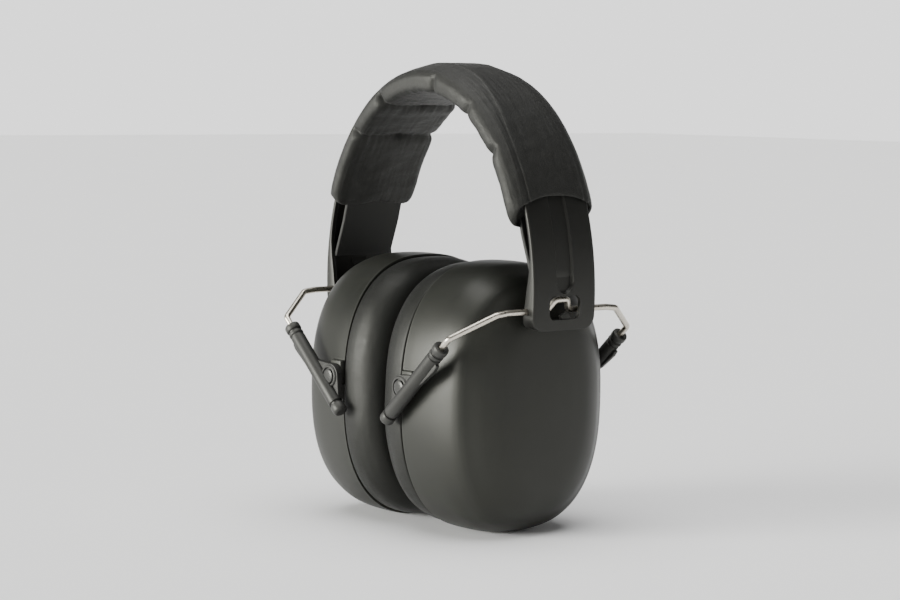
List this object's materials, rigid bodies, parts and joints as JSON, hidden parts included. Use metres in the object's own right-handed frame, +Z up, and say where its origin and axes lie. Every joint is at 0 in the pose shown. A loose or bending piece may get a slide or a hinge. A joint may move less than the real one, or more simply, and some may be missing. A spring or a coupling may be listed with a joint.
{
  "type": "earmuff hearing protector",
  "caption": "Passive folding earmuff: padded over-head band with channel arms, wire yokes, telescoping pivoting links and deep ear cups with soft sealing cushions.",
  "frame": {"origin": "on the ground in the middle between the two cups, which stand side by side", "axes": "+X towards one ear cup (the wearer's ears lie along X), -Y towards the front, +Z up to the crown of the band"},
  "size_m": [0.1332, 0.1014, 0.1869],
  "materials": {
    "band_plastic": "satin black, moulded",
    "cup_plastic": "satin black, moulded",
    "link_plastic": "matt dark grey, moulded",
    "pin_plastic": "satin dark grey, moulded",
    "sleeve_leatherette": "soft black leatherette",
    "cushion_vinyl": "smooth black vinyl",
    "pad_foam": "open-cell foam",
    "tab_plastic": "matt black",
    "yoke_steel": "bright drawn wire"
  },
  "bodies": {
    "headband": {"headband": "band_plastic", "headband_sleeve": "sleeve_leatherette", "headband_foam": "pad_foam", "left_pad_tab": "tab_plastic", "right_pad_tab": "tab_plastic"},
    "left_yoke": {"left_wire_yoke": "yoke_steel"},
    "left_links": {"left_front_link": "link_plastic", "left_rear_link": "link_plastic"},
    "left_cup": {"left_cup_shell": "cup_plastic", "left_rim_ring": "cup_plastic", "left_cushion_plate": "cup_plastic", "left_cushion_cover": "cushion_vinyl", "left_cushion_foam": "pad_foam", "left_acoustic_foam": "pad_foam", "left_front_pivot_pin": "pin_plastic", "left_rear_pivot_pin": "pin_plastic"},
    "right_yoke": {"right_wire_yoke": "yoke_steel"},
    "right_links": {"right_front_link": "link_plastic", "right_rear_link": "link_plastic"},
    "right_cup": {"right_cup_shell": "cup_plastic", "right_rim_ring": "cup_plastic", "right_cushion_plate": "cup_plastic", "right_cushion_cover": "cushion_vinyl", "right_cushion_foam": "pad_foam", "right_acoustic_foam": "pad_foam", "right_front_pivot_pin": "pin_plastic", "right_rear_pivot_pin": "pin_plastic"}
  },
  "joints": [
    {"name": "left_yoke_swing", "type": "hinge", "parent": "headband", "child": "left_yoke", "pos_m": [-0.062, 0, 0.0915], "axis": [0, 1, 0], "range_deg": [0, 18]},
    {"name": "left_height_adjust", "type": "slide", "parent": "left_yoke", "child": "left_links", "axis": [0.7291, 0, -0.6844], "range_m": [0, 0.015]},
    {"name": "left_cup_tilt", "type": "hinge", "parent": "left_links", "child": "left_cup", "pos_m": [-0.023, 0, 0.0601], "axis": [0, -1, 0], "range_deg": [-8, 4], "deforming": ["left_cushion_cover", "left_cushion_foam"]},
    {"name": "right_yoke_swing", "type": "hinge", "parent": "headband", "child": "right_yoke", "pos_m": [0.062, 0, 0.0915], "axis": [0, -1, 0], "range_deg": [0, 18]},
    {"name": "right_height_adjust", "type": "slide", "parent": "right_yoke", "child": "right_links", "axis": [-0.7291, 0, -0.6844], "range_m": [0, 0.015]},
    {"name": "right_cup_tilt", "type": "hinge", "parent": "right_links", "child": "right_cup", "pos_m": [0.023, 0, 0.0601], "axis": [0, 1, 0], "range_deg": [-8, 4], "deforming": ["right_cushion_cover", "right_cushion_foam"]}
  ]
}
